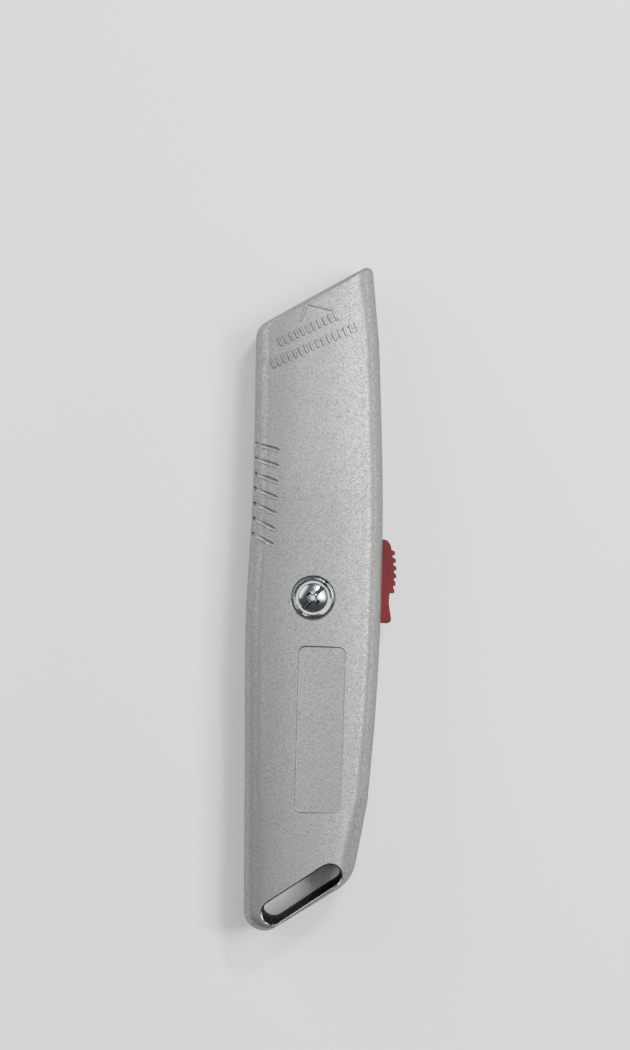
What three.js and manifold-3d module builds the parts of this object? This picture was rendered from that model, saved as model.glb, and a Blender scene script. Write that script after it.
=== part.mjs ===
// A retractable utility knife: two die-cast handle shells held by one screw, a blade carriage that
// slides behind a thumb button in the spine, and a stack of spare blades in the tail.
//
// Millimetres. X points to the spine (thumb) side, Y to the nose, Z out of the front face.
// The origin is on the screw's axis, on the flat rear face. Inside this file the solids are drawn
// about the parting plane between the shells (z = 0), and the last lines lift them to the origin.
import * as THREE from "three";
import { mergeVertices } from "three/addons/utils/BufferGeometryUtils.js";
import Module from "manifold-3d";

const wasm = await Module();
wasm.setup();

// ---- driving dimensions -----------------------------------------------------------------------
const HALF_THICKNESS = 10; // each shell, from the parting plane to its flat outer face
const PARTING_GAP = 0.05; // each shell stops this short of the parting plane
const WALL = 2.2;
const EDGE_WIDTH = 4.2; // the rounded rim of the long sides, across the face
const EDGE_DEPTH = 4.6; // the rounded rim of the long sides, down the side
const END_EDGE = 1; // the rim of the nose and the tail, across the face
const TAPER_START = 28; // the faces tilt towards the nose from this Y on
const TAPER_SLOPE = 0.073;
const GAP = 0.3; // between pieces that touch on the real knife

const NOSE_SLOPE = 0.59; // the nose runs forward towards the spine
const NOSE_Y = 70.3; // where the nose line crosses X = 0
const TAIL_SLOPE = 0.65;
const TAIL_Y = -71.4;

const TRAVEL = 28; // of the blade carriage
const CUTTING_POSITIONS = 3; // besides the retracted one

const BLADE = {
  length: 61,
  backLength: 33,
  width: 19,
  thickness: 0.6,
  bevel: 1.6,
  notchWidth: 3.2,
  notchDepth: 3,
  notchSpacing: 12,
};
const BLADE_X = -9.5; // the cutting edge of the blade in use, on the belly side
const BLADE_TIP_Y = 61; // when it is retracted
const SPARE_BLADES = 5;
const SPARE_X = -10.4;
const SPARE_TIP_Y = -5;
const SPARE_PITCH = 0.7;
const SPARE_FLOOR = -6.9; // Z of the lowest spare blade's underside

const SCREW = { headRadius: 3.45, shankRadius: 1.85, seatZ: 7.2, tipZ: -6.2, slotAngle: 49 };
const RECESS_RADIUS = 4.95; // the dish round the screw head, at the face
const BOSS_RADIUS = 4.2;

const HANG_SLOT = { x: -0.7, y: -67.4, length: 20.7, width: 5.3, angle: 34.9, draft: 0.4 };
const PANEL = { x: 2.5, y: -29.9, width: 10.5, length: 37.6, corner: 1.3, depth: 0.45 };
const GRIP = { count: 7, firstY: 14.3, pitch: 3.4, x: -14.6, length: 6, width: 0.9, depth: 0.5 };
const GRIP_ANGLES = { first: -28, step: 2.2 }; // the grooves fan out, from the tail-most one on

const CHANNEL = { floorX: 12.6, fromY: -7, toY: 43, halfWidth: 4.2 }; // the button runs in it
const PAD_X = 10.6; // inner face of the thick wall behind the channel
const STEM = { fromY: 0, toY: 7, halfWidth: 1.4 }; // the button's neck, through the spine slot
const DETENT_Y = 3.5;
const PLATE = { bottom: -1.8, top: -0.6 }; // the carriage plate, under the blade

// ---- materials --------------------------------------------------------------------------------
const castMetal = new THREE.MeshStandardMaterial({ color: 0xa9aaa7, roughness: 0.5, metalness: 0.6 });
const chromedSteel = new THREE.MeshStandardMaterial({ color: 0xc9ccd0, roughness: 0.12, metalness: 1 });
const redPlastic = new THREE.MeshStandardMaterial({ color: 0xb0202c, roughness: 0.35, metalness: 0 });
const platedSteel = new THREE.MeshStandardMaterial({ color: 0xb4b6b4, roughness: 0.35, metalness: 1 });
const bladeSteel = new THREE.MeshStandardMaterial({ color: 0xbfc2c6, roughness: 0.25, metalness: 1 });
const springSteel = new THREE.MeshStandardMaterial({ color: 0x7d8084, roughness: 0.3, metalness: 1 });

// ---- solids -----------------------------------------------------------------------------------
function solid(geometry) {
  const bare = new THREE.BufferGeometry().setAttribute("position", geometry.getAttribute("position"));
  bare.setIndex(geometry.index);
  const merged = mergeVertices(bare, 1e-4);
  return new wasm.Manifold(
    new wasm.Mesh({
      numProp: 3,
      vertProperties: merged.attributes.position.array,
      triVerts: new Uint32Array(merged.index.array),
    }),
  );
}

function box(x0, x1, y0, y1, z0, z1) {
  const geometry = new THREE.BoxGeometry(x1 - x0, y1 - y0, z1 - z0);
  return solid(geometry.translate((x0 + x1) / 2, (y0 + y1) / 2, (z0 + z1) / 2));
}

function prism(shape, z0, z1, curveSegments = 8) {
  const geometry = new THREE.ExtrudeGeometry(shape, { depth: z1 - z0, bevelEnabled: false, curveSegments });
  return solid(geometry.translate(0, 0, z0));
}

function polygon(...points) {
  return new THREE.Shape(points.map(([x, y]) => new THREE.Vector2(x, y)));
}

// A turned solid about the Z axis through (x, y), from [radius, z] points that start and end on it.
function turned(x, y, points, segments = 32) {
  const profile = points.map(([r, z]) => new THREE.Vector2(r, z));
  const geometry = new THREE.LatheGeometry(profile, segments).rotateX(Math.PI / 2);
  return solid(geometry.translate(x, y, 0));
}

function rod(x, y, radius, z0, z1, segments = 20) {
  return turned(x, y, [[0, z0], [radius, z0], [radius, z1], [0, z1]], segments);
}

// The same, about an axis parallel to X through (y, z).
function crossRod(y, z, points, segments = 16) {
  const profile = points.map(([r, x]) => new THREE.Vector2(r, x));
  const geometry = new THREE.LatheGeometry(profile, segments).rotateZ(-Math.PI / 2);
  return solid(geometry.translate(0, y, z));
}

// A slot with round ends, centred on (x, y) and turned by angle degrees.
function capsule({ x, y, length, width, angle }) {
  const reach = (length - width) / 2;
  const turn = THREE.MathUtils.degToRad(angle);
  const [dx, dy] = [reach * Math.cos(turn), reach * Math.sin(turn)];
  const shape = new THREE.Shape();
  shape.absarc(x + dx, y + dy, width / 2, turn - Math.PI / 2, turn + Math.PI / 2);
  shape.absarc(x - dx, y - dy, width / 2, turn + Math.PI / 2, turn + Math.PI * 1.5);
  return shape;
}

function roundedRectangle(x, y, width, length, corner) {
  const [w, l] = [width / 2 - corner, length / 2 - corner];
  const shape = new THREE.Shape();
  shape.absarc(x + w, y - l, corner, -Math.PI / 2, 0);
  shape.absarc(x + w, y + l, corner, 0, Math.PI / 2);
  shape.absarc(x - w, y + l, corner, Math.PI / 2, Math.PI);
  shape.absarc(x - w, y - l, corner, Math.PI, Math.PI * 1.5);
  return shape;
}

const all = (solids) => solids.reduce((sum, next) => sum.add(next));

// ---- the handle's outline ---------------------------------------------------------------------
const point = (x, y) => new THREE.Vector2(x, y);
const noseAt = (x) => point(x, NOSE_Y + NOSE_SLOPE * x);
const tailAt = (x) => point(x, TAIL_Y + TAIL_SLOPE * x);

// The belly is pulled in a little where the forefinger rests, and the spine swells to the middle.
const belly = new THREE.SplineCurve([
  point(-14.7, -35),
  point(-15.3, -6),
  point(-14.6, 19),
  point(-14.5, 36),
  point(-14.7, 52),
]);
const spine = new THREE.SplineCurve([
  point(13.7, 58),
  point(15.3, 27),
  point(15.7, 0),
  point(15.2, -24),
  point(13.9, -46),
]);

// The points of a rounded corner of the outline, with the runs before and after it pulled in by
// their own insets. Its radius shrinks as they are.
function corner(before, at, after, radius, [insetBefore, insetAfter], segments = 5) {
  const back = before.clone().sub(at).normalize();
  const on = after.clone().sub(at).normalize();
  const half = Math.acos(back.dot(on)) / 2;
  const spread = Math.sin(2 * half);
  const kept = Math.max(radius - (insetBefore + insetAfter) / 2, 0.3);
  const centre = back.clone().add(on).setLength(kept / Math.sin(half)).add(at);
  centre.addScaledVector(on, insetBefore / spread).addScaledVector(back, insetAfter / spread);
  const from = Math.atan2(-back.x, back.y);
  const sweep = 2 * half - Math.PI;
  const points = [];
  for (let i = 0; i <= segments; i++) {
    const angle = from + (sweep * i) / segments;
    points.push(point(centre.x + kept * Math.cos(angle), centre.y + kept * Math.sin(angle)));
  }
  return points;
}

function longSide(curve, inset, segments = 10) {
  const points = [];
  for (let i = 0; i <= segments; i++) {
    const along = curve.getTangent(i / segments);
    points.push(curve.getPoint(i / segments).add(point(along.y, -along.x).multiplyScalar(inset)));
  }
  return points;
}

// The outline, clockwise from the tail, with its long sides and its ends pulled in by their insets.
// Every such ring has as many points.
function ring(sides, ends) {
  const bellyEnds = [belly.getPoint(0), belly.getPoint(1)];
  const spineEnds = [spine.getPoint(0), spine.getPoint(1)];
  return [
    ...corner(tailAt(0), tailAt(-13.7), bellyEnds[0], 4.7, [ends, sides]),
    ...longSide(belly, sides),
    ...corner(bellyEnds[1], noseAt(-14.75), noseAt(0), 4.2, [sides, ends]),
    ...corner(noseAt(0), noseAt(11.6), spineEnds[0], 1.6, [ends, sides]),
    ...longSide(spine, sides),
    ...corner(spineEnds[1], tailAt(10.9), tailAt(0), 9, [sides, ends]),
  ];
}

// Joins rings, each with its insets and its z, from the lowest up into a closed body.
function stack(levels) {
  const rings = levels.map(({ sides, ends }) => ring(sides, ends));
  const count = rings[0].length;
  const positions = rings.flatMap((points, level) => points.flatMap(({ x, y }) => [x, y, levels[level].z]));
  const index = [];
  for (let level = 0; level + 1 < rings.length; level++) {
    for (let i = 0; i < count; i++) {
      const [a, b] = [level * count + i, level * count + ((i + 1) % count)];
      index.push(a, a + count, b, b, a + count, b + count);
    }
  }
  const lid = (level) =>
    THREE.ShapeUtils.triangulateShape(rings[level], []).map((face) => face.map((i) => level * count + i));
  const top = rings.length - 1;
  lid(0).forEach(([a, b, c]) => index.push(a, c, b));
  lid(top).forEach((face) => index.push(...face));
  const geometry = new THREE.BufferGeometry();
  geometry.setAttribute("position", new THREE.Float32BufferAttribute(positions, 3));
  geometry.setIndex(index);
  return geometry;
}

// Half of the handle's body, pulled in from the outline by inset and with a rim of the given width
// and depth along its sides: half is 1 for the front and -1 for the rear. Its face is level up to
// TAPER_START, where the same body, sheared, becomes the lower of the two.
function halfBody(half, inset, face, edgeWidth, edgeDepth) {
  const steps = 5;
  const levels = [];
  for (let i = 0; i <= steps; i++) {
    const angle = (Math.PI / 2) * (i / steps);
    levels.push({
      sides: inset + edgeWidth * (1 - Math.cos(angle)),
      ends: inset + END_EDGE * (1 - Math.cos(angle)),
      z: face - edgeDepth * (1 - Math.sin(angle)),
    });
  }
  const mirrored = levels.map((level) => ({ ...level, z: -level.z })).reverse();
  const geometry = stack([...mirrored, ...levels]);
  const slope = -half * TAPER_SLOPE;
  const shear = new THREE.Matrix4();
  shear.elements[6] = slope;
  shear.elements[14] = -slope * TAPER_START;
  const tilted = geometry.clone().applyMatrix4(shear);
  return solid(geometry).intersect(solid(tilted)).subtract(otherHalf(half));
}

function otherHalf(half) {
  return half > 0
    ? box(-60, 60, -120, 120, -60, PARTING_GAP)
    : box(-60, 60, -120, 120, -PARTING_GAP, 60);
}

// ---- what both shells share -------------------------------------------------------------------
// A box given by its distances from the parting plane, on either side of it.
function sideBox(side, x0, x1, y0, y1, near, far) {
  return side > 0 ? box(x0, x1, y0, y1, near, far) : box(x0, x1, y0, y1, -far, -near);
}

const POCKET_SLOPE = 0.762; // the cavity's front end, parallel to the carriage's
const POCKET_Y = 58.6;
const SLOT_WALL_Y = -61.3; // the cavity's rear end, 1.8 mm from the hang slot

function cavity(side) {
  const far = 20;
  const slope = Math.tan(THREE.MathUtils.degToRad(HANG_SLOT.angle));
  const room = polygon(
    [-far, POCKET_Y - far * POCKET_SLOPE],
    [-far, SLOT_WALL_Y - far * slope],
    [far, SLOT_WALL_Y + far * slope],
    [far, POCKET_Y + far * POCKET_SLOPE],
  );
  return halfBody(side, WALL, HALF_THICKNESS - WALL, 2.6, 3).intersect(prism(room, -20, 20));
}

function gripGrooves(side) {
  const { count, firstY, pitch, x, length, width, depth } = GRIP;
  const grooves = [];
  for (let i = 0; i < count; i++) {
    const groove = new THREE.BoxGeometry(length, width, 20);
    groove.rotateZ(THREE.MathUtils.degToRad(GRIP_ANGLES.first + i * GRIP_ANGLES.step));
    groove.translate(x + length / 2, firstY + i * pitch, 0);
    grooves.push(solid(groove));
  }
  const y = [firstY - 8, firstY + count * pitch + 8];
  const skin = sideBox(side, -20, -8, ...y, 1.5, 20).subtract(
    halfBody(side, depth, HALF_THICKNESS - depth, EDGE_WIDTH, EDGE_DEPTH),
  );
  return all(grooves).intersect(skin);
}

function bareShell(side) {
  const panel = roundedRectangle(PANEL.x, PANEL.y, PANEL.width, PANEL.length, PANEL.corner);
  const face = side * HALF_THICKNESS;
  const bottom = face - side * PANEL.depth;
  return halfBody(side, 0, HALF_THICKNESS, EDGE_WIDTH, EDGE_DEPTH)
    .subtract(cavity(side))
    .subtract(prism(panel, Math.min(bottom, face + side), Math.max(bottom, face + side), 4))
    .subtract(gripGrooves(side));
}

// The thick wall that the button's channel and slot are cut into, and the guides of the carriage.
function guides(side) {
  const near = side > 0 ? BLADE.thickness / 2 + GAP : GAP - PLATE.bottom;
  const deep = HALF_THICKNESS - WALL + 0.2;
  const spineRail = side > 0 ? [1.5, 2.7, 8] : [8.6, 9.8, -12];
  const rails = [[-8, -6.8, 5], spineRail].map(([x0, x1, y0]) => sideBox(side, x0, x1, y0, 68, near, deep));
  const pad = sideBox(side, PAD_X, 13.8, -10, 46, PARTING_GAP, 5.6);
  return all([...rails, pad]).intersect(halfBody(side, 1, HALF_THICKNESS - 1, 3, 3));
}

function hangSlot() {
  const geometry = new THREE.ExtrudeGeometry(capsule(HANG_SLOT), {
    depth: 1,
    bevelThickness: HALF_THICKNESS - 0.49,
    bevelSize: -HANG_SLOT.draft,
    bevelSegments: 1,
    curveSegments: 5,
  });
  return solid(geometry.translate(0, 0, -0.5));
}

function throughCuts() {
  const bladeSlot = BLADE.thickness / 2 + 0.25;
  const slotGap = 0.25;
  return all([
    hangSlot(),
    box(BLADE_X - 0.4, BLADE_X + BLADE.width + 0.4, 40, 90, -bladeSlot, bladeSlot),
    box(CHANNEL.floorX, 30, CHANNEL.fromY, CHANNEL.toY, -CHANNEL.halfWidth, CHANNEL.halfWidth),
    box(PAD_X - 1, CHANNEL.floorX + 1, STEM.fromY - 0.5, STEM.toY + TRAVEL + 0.5,
      -STEM.halfWidth - slotGap, STEM.halfWidth + slotGap),
  ]);
}

// ---- the two shells ---------------------------------------------------------------------------
const POST = { x: 9.4, y: -53.6, radius: 1.3, top: 2.6 }; // locates the tail
const KEY = { x0: 10.5, x1: 11.6, y0: 63.5, y1: 68.5, top: 1.1 }; // locates the nose

function frontShell() {
  const boss = turned(0, 0, [[0, GAP], [BOSS_RADIUS, GAP], [BOSS_RADIUS, 4.6], [6, 5.4], [6, 8], [0, 8]]);
  const socketWall = rod(POST.x, POST.y, 2.9, PARTING_GAP, 8).intersect(
    halfBody(1, 1, HALF_THICKNESS - 1, 3, 3),
  );
  const dishDepth = RECESS_RADIUS - SCREW.headRadius - GAP;
  const face = HALF_THICKNESS;
  const recess = turned(0, 0, [
    [0, SCREW.seatZ],
    [SCREW.headRadius + GAP, SCREW.seatZ],
    [SCREW.headRadius + GAP, face - dishDepth],
    [RECESS_RADIUS + 1, face + 1],
    [0, face + 1],
  ], 40);
  const clearance = rod(0, 0, 2.3, -1, SCREW.seatZ + 1);
  const pitch = TRAVEL / CUTTING_POSITIONS;
  const notches = [];
  for (let i = 0; i <= CUTTING_POSITIONS; i++) {
    const y = DETENT_Y + i * pitch;
    notches.push(box(PAD_X - 1, PAD_X + 1.3, y - 1.4, y + 1.4, 1, 3.8));
  }
  const socket = rod(POST.x, POST.y, POST.radius + GAP, -1, POST.top + GAP);
  const keyway = box(KEY.x0 - GAP, KEY.x1 + GAP, KEY.y0 - GAP, KEY.y1 + GAP, -1, KEY.top + GAP);
  return all([bareShell(1), guides(1), boss, socketWall])
    .subtract(all([throughCuts(), recess, clearance, socket, keyway, ...notches]));
}

function rearShell() {
  const floor = -HALF_THICKNESS + WALL - 0.2;
  const boss = rod(0, 0, BOSS_RADIUS, floor, -GAP, 32);
  const threadedHole = rod(0, 0, SCREW.shankRadius + GAP, -7, 1, 24);
  const post = rod(POST.x, POST.y, POST.radius, floor, POST.top);
  const key = box(KEY.x0, KEY.x1, KEY.y0, KEY.y1, -2, KEY.top);
  const pegs = sparePegs().map(({ x, y }) => rod(x, y, SPARE_PEG_RADIUS, floor, SPARE_PEG_TOP, 16));
  const rests = SPARE_RESTS_Y.map((y) => box(-8.5, 7, y - 0.6, y + 0.6, floor, SPARE_FLOOR - GAP));
  return all([bareShell(-1), guides(-1)])
    .subtract(throughCuts())
    .add(all([boss, post, key, ...pegs, ...rests]))
    .subtract(threadedHole);
}

// ---- blades -----------------------------------------------------------------------------------
// A trapezoid blade: its cutting edge lies along Y from the origin, and its back is at x = width.
function blade() {
  const { length, backLength, width, thickness, bevel, notchWidth, notchDepth, notchSpacing } = BLADE;
  const half = thickness / 2;
  const section = polygon([0, 0], [bevel, -half], [width, -half], [width, half], [bevel, half]);
  const strip = new THREE.ExtrudeGeometry(section, { depth: length, bevelEnabled: false });
  const slant = (length - backLength) / 2;
  const [out, ahead] = [width + 1, length + 1];
  const rise = (slant * out) / width;
  const rearEnd = polygon([0, 0], [0, -1], [out, -1], [out, rise]);
  const frontEnd = polygon([0, length], [out, length - rise], [out, ahead], [0, ahead]);
  const notches = [-1, 1].map((side) =>
    capsule({
      x: width - notchDepth + notchWidth,
      y: length / 2 + (side * notchSpacing) / 2,
      length: 2 * notchWidth,
      width: notchWidth,
      angle: 0,
    }),
  );
  const cuts = [rearEnd, frontEnd, ...notches].map((shape) => prism(shape, -1, 1, 8));
  return solid(strip.rotateX(Math.PI / 2).translate(0, length, 0)).subtract(all(cuts));
}

// Centres of the round bottoms of a blade's notches, for a blade placed at (x, y).
function notchCentres(x, y) {
  const inset = BLADE.notchDepth - BLADE.notchWidth / 2;
  return [-1, 1].map((side) => ({
    x: x + BLADE.width - inset,
    y: y + BLADE.length / 2 + (side * BLADE.notchSpacing) / 2,
  }));
}

const SPARE_PEG_RADIUS = 1.2;
const SPARE_RESTS_Y = [-22, -49]; // low ribs under the spare blades
const SPARE_STACK_TOP = SPARE_FLOOR + SPARE_BLADES * SPARE_PITCH;
const SPARE_PEG_TOP = SPARE_STACK_TOP + 1.2;

function sparePegs() {
  return notchCentres(SPARE_X, SPARE_TIP_Y - BLADE.length);
}

// A spring-steel keeper, pushed over the two pegs to hold the spare blades down.
function spareBladeClip() {
  const [rear, front] = sparePegs();
  const middle = (rear.y + front.y) / 2;
  const plate = roundedRectangle(rear.x - 1.2, middle, 5.6, front.y - rear.y + 6, 1.5);
  const tongue = roundedRectangle(rear.x - 8.5, middle, 12, 5, 1.5);
  const z = SPARE_STACK_TOP + 0.1;
  const holes = [rear, front].map(({ x, y }) => rod(x, y, SPARE_PEG_RADIUS + 0.15, z - 1, z + 1, 16));
  return prism(plate, z, z + 0.4, 4).add(prism(tongue, z, z + 0.4, 4)).subtract(all(holes));
}

// ---- the blade carriage -----------------------------------------------------------------------
const ARM = { x0: 5.6, x1: 6.8, y0: -10, y1: 10, top: 3.8 }; // the flange that holds the spring
const RIVETS_Y = [-8.1, -4.7];
const RIVET_Z = 0.1;
const STUD = notchCentres(BLADE_X, BLADE_TIP_Y - BLADE.length)[0];

function bladeCarrier() {
  const { bottom, top } = PLATE;
  const plate = polygon([-8.8, 6], [ARM.x1, 6], [ARM.x1, 14.5], [9.7, 14.5], [9.7, 37], [-8.8, 22]);
  const arm = box(ARM.x0, ARM.x1, ARM.y0, ARM.y1, bottom, ARM.top);
  const bladeTop = BLADE.thickness / 2 + GAP;
  const keeperWall = box(9.6, 10.25, 29, 34, bottom, bladeTop + 0.6);
  const keeperLip = box(8.4, 10.25, 29, 34, bladeTop, bladeTop + 0.6);
  const studHole = rod(STUD.x, STUD.y, 1.3, bottom - 1, top + 1, 16);
  const rivetHoles = RIVETS_Y.map((y) => crossRod(y, RIVET_Z, [[0, 4], [1.1, 4], [1.1, 8], [0, 8]]));
  const window = prism(roundedRectangle(-1.5, 14, 7, 8, 2), -3, 1, 4);
  return all([prism(plate, bottom, top), arm, keeperWall, keeperLip])
    .subtract(all([studHole, window, ...rivetHoles]));
}

function bladeStud() {
  const { bottom, top } = PLATE;
  const headRadius = 1.35;
  return turned(STUD.x, STUD.y, [
    [0, bottom + 0.05],
    [1, bottom + 0.05],
    [1, top + 0.1],
    [headRadius, top + 0.1],
    [headRadius, 0.9],
    [headRadius - 0.25, 1.15],
    [0, 1.15],
  ], 20);
}

function rivet(y) {
  const strip = SPRING.restX + SPRING.thickness / 2;
  return crossRod(y, RIVET_Z, [
    [0, 4.75],
    [1.2, 4.85],
    [1.55, 5.45],
    [0.8, 5.45],
    [0.8, strip + 0.15],
    [1.55, strip + 0.15],
    [1.2, strip + 0.75],
    [0, strip + 0.85],
  ]);
}

// A leaf spring: riveted flat at its rear end, arched under the button, free at its front end.
// An ear beside the arch stands up into the detent notches of the front shell.
const SPRING = { thickness: 0.4, restX: 7.25, crestX: 8.95, z0: -1.6, z1: 1.8 };

function leafSpring() {
  const { thickness, restX, crestX, z0, z1 } = SPRING;
  const line = new THREE.CatmullRomCurve3([
    new THREE.Vector3(restX, -9.6, 0),
    new THREE.Vector3(restX, -6, 0),
    new THREE.Vector3(restX, -2.8, 0),
    new THREE.Vector3(crestX - 0.35, 0.6, 0),
    new THREE.Vector3(crestX, DETENT_Y, 0),
    new THREE.Vector3(crestX - 0.4, 6.4, 0),
    new THREE.Vector3(restX + 0.1, 9.6, 0),
    new THREE.Vector3(restX + 0.3, 11, 0),
  ]).getPoints(28);
  const offset = (half) => line.map(({ x, y }) => [x + half, y]);
  const strip = polygon(...offset(thickness / 2), ...offset(-thickness / 2).reverse());
  const ear = { y0: DETENT_Y - 1.1, y1: DETENT_Y + 1.1, z0: 2.35, z1: 3.45, top: 11.55 };
  const crossbar = box(crestX - 0.25, crestX + 0.15, ear.y0, ear.y1, z1 - 0.5, ear.z1);
  const tooth = box(crestX - 0.25, ear.top, ear.y0, ear.y1, ear.z0, ear.z1);
  const holes = RIVETS_Y.map((y) => crossRod(y, RIVET_Z, [[0, 6], [1.1, 6], [1.1, 9], [0, 9]]));
  return all([prism(strip, z0, z1), crossbar, tooth]).subtract(all(holes));
}

// ---- the thumb button -------------------------------------------------------------------------
const BUTTON = { baseX: 14.35, fromY: -5.5, toY: 13.8, halfWidth: 3.9 };
const TEETH = { count: 6, firstY: 1.4, pitch: 1.75, depth: 0.6 };

// Side view: a toothed hump in front, a thumb hollow behind it and a low lip at the rear end.
function buttonProfile() {
  const { baseX, fromY, toY } = BUTTON;
  const { count, firstY, pitch, depth } = TEETH;
  const crest = (y) => 19 - 0.02 * (y - 5.5) ** 2;
  const points = [[baseX, toY], [baseX, fromY], [16.9, fromY], [17.7, fromY + 1], [17.4, -3], [16.8, -0.6]];
  points.push([17.1, firstY]);
  for (let i = 0; i < count; i++) {
    const y = firstY + i * pitch;
    points.push([crest(y), y], [crest(y) - 0.1, y + 0.7], [crest(y + pitch) - depth, y + pitch]);
  }
  points.push([17.2, toY - 0.5], [16.2, toY]);
  return polygon(...points);
}

function thumbButton() {
  const { baseX, halfWidth } = BUTTON;
  const rounding = 0.5;
  const cap = new THREE.ExtrudeGeometry(buttonProfile(), {
    depth: 2 * (halfWidth - rounding),
    bevelThickness: rounding,
    bevelSize: rounding,
    bevelOffset: -rounding,
    bevelSegments: 2,
  }).translate(0, 0, rounding - halfWidth);
  const neckX = SPRING.crestX + SPRING.thickness / 2 + 0.25;
  const neck = box(neckX, baseX + 1, STEM.fromY, STEM.toY, -STEM.halfWidth, STEM.halfWidth);
  const foot = box(neckX, PAD_X - GAP, STEM.fromY, STEM.toY, -1.95, 1.95);
  return all([solid(cap), neck, foot]);
}

// ---- the body screw ---------------------------------------------------------------------------
function bodyScrew() {
  const { headRadius, shankRadius, seatZ, tipZ, slotAngle } = SCREW;
  const underside = seatZ + 0.2;
  const head = turned(0, 0, [
    [0, tipZ],
    [shankRadius - 0.4, tipZ],
    [shankRadius, tipZ + 0.4],
    [shankRadius, underside],
    [headRadius, underside],
    [headRadius, underside + 1.2],
    [headRadius - 0.35, underside + 1.75],
    [headRadius - 1.5, underside + 2.2],
    [0, underside + 2.35],
  ], 32);
  const bar = (length, width, depth, angle) => {
    const geometry = new THREE.BoxGeometry(length, width, 4);
    geometry.rotateZ(THREE.MathUtils.degToRad(angle)).translate(0, 0, underside + 4.35 - depth);
    return solid(geometry);
  };
  const slot = bar(2 * headRadius + 1, 1, 0.9, slotAngle);
  const cross = [0, 90].map((turn) => bar(3.4, 0.9, 1.5, slotAngle + turn));
  return head.subtract(all([slot, ...cross]));
}

// ---- assembly ---------------------------------------------------------------------------------
function mesh(name, manifold, material, position = [0, 0, 0]) {
  const { numProp, numVert, vertProperties, triVerts } = manifold.getMesh();
  const positions = new Float32Array(numVert * 3);
  for (let i = 0; i < numVert; i++) {
    positions.set(vertProperties.subarray(i * numProp, i * numProp + 3), i * 3);
  }
  const geometry = new THREE.BufferGeometry();
  geometry.setAttribute("position", new THREE.BufferAttribute(positions, 3));
  geometry.setIndex(new THREE.BufferAttribute(triVerts, 1));
  geometry.computeVertexNormals();
  const made = new THREE.Mesh(geometry, material);
  made.name = name;
  made.position.set(...position);
  return made;
}

const handle = new THREE.Group();
handle.add(
  mesh("front_shell", frontShell(), castMetal),
  mesh("rear_shell", rearShell(), castMetal),
  mesh("body_screw", bodyScrew(), chromedSteel),
  mesh("spare_blade_clip", spareBladeClip(), springSteel),
);
for (let i = 0; i < SPARE_BLADES; i++) {
  const z = SPARE_FLOOR + i * SPARE_PITCH + BLADE.thickness / 2;
  const position = [SPARE_X, SPARE_TIP_Y - BLADE.length, z];
  handle.add(mesh(`spare_blade_${i + 1}`, blade(), bladeSteel, position));
}

const carriage = new THREE.Group();
carriage.add(
  mesh("blade_carrier", bladeCarrier(), platedSteel),
  mesh("blade_stud", bladeStud(), platedSteel),
  mesh("leaf_spring", leafSpring(), springSteel),
  mesh("cutting_blade", blade(), bladeSteel, [BLADE_X, BLADE_TIP_Y - BLADE.length, 0]),
  mesh("thumb_button", thumbButton(), redPlastic),
);
RIVETS_Y.forEach((y, i) => carriage.add(mesh(`spring_rivet_${i + 1}`, rivet(y), platedSteel)));

const knife = new THREE.Group();
knife.name = "utility_knife";
knife.position.z = HALF_THICKNESS;
knife.add(handle, carriage);

export default knife;
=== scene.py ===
"""The looks of a retractable utility knife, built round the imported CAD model.

Shapes are drawn in millimetres about the parting plane of the handle (z = 0), with X towards the
thumb button and Y towards the nose, and placed() turns them into metres in the frame of the model.
"""
import math

import bmesh
import bpy
from mathutils import Matrix, Vector
from mathutils.bvhtree import BVHTree
from mathutils.geometry import delaunay_2d_cdt
from mathutils.interpolate import poly_3d_calc


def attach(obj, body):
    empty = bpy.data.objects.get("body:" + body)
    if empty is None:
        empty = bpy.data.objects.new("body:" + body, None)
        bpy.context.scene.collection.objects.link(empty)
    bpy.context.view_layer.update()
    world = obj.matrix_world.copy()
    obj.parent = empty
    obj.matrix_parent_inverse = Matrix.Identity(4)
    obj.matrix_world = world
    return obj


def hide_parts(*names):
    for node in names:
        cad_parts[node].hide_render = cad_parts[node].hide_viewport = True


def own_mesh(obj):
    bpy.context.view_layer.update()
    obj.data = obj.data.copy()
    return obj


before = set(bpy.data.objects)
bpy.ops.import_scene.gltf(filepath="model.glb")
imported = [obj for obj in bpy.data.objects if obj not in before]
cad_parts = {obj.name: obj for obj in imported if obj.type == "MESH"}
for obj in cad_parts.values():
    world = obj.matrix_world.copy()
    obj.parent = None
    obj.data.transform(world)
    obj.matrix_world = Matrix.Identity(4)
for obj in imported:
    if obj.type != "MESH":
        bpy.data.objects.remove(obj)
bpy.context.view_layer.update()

# ---- dimensions, in mm ------------------------------------------------------------------------
PARTING_Z = 10.0  # height of the parting plane over the floor
FACE = 9.99  # from the parting plane to each face
SEAM = 0.05  # each half stops this short of the parting plane
INSIDE = 0.06  # how far the skin stays inside the outline of the model
RIM_WIDTH = 4.2  # of the rounded rims along the belly and the spine, seen from above
RIM_DEPTH = 4.6
END_RIM = 1.0  # width of the rims at the nose and the tail
RIM_STEPS = 12
CAP_SPACING = 1.6  # between the points of the mesh on each face
FRONT_CROWN = 0.7  # how far each face falls from its middle line to its rims
REAR_CROWN = 0.12
CROWN_POWER = 2.4
TAPER_START = 28.0  # Y where the faces begin to fall towards the nose
TAPER_BLEND = 6.0
TAPER_SLOPE = 0.073
NOSE = (70.3, 0.59)  # Y at X = 0, and the slope
TAIL = (-71.4, 0.65)
BELLY = [(-14.7, -35), (-15.3, -6), (-14.6, 19), (-14.5, 36), (-14.7, 52)]
SPINE = [(13.7, 58), (15.3, 27), (15.7, 0), (15.2, -24), (13.9, -46)]
TAIL_BELLY = (-13.7, 4.7)  # the four corners: X on the end's line, and the radius
NOSE_BELLY = (-14.75, 4.2)
NOSE_SPINE = (11.6, 1.6)
TAIL_SPINE = (10.9, 9.0)
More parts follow.
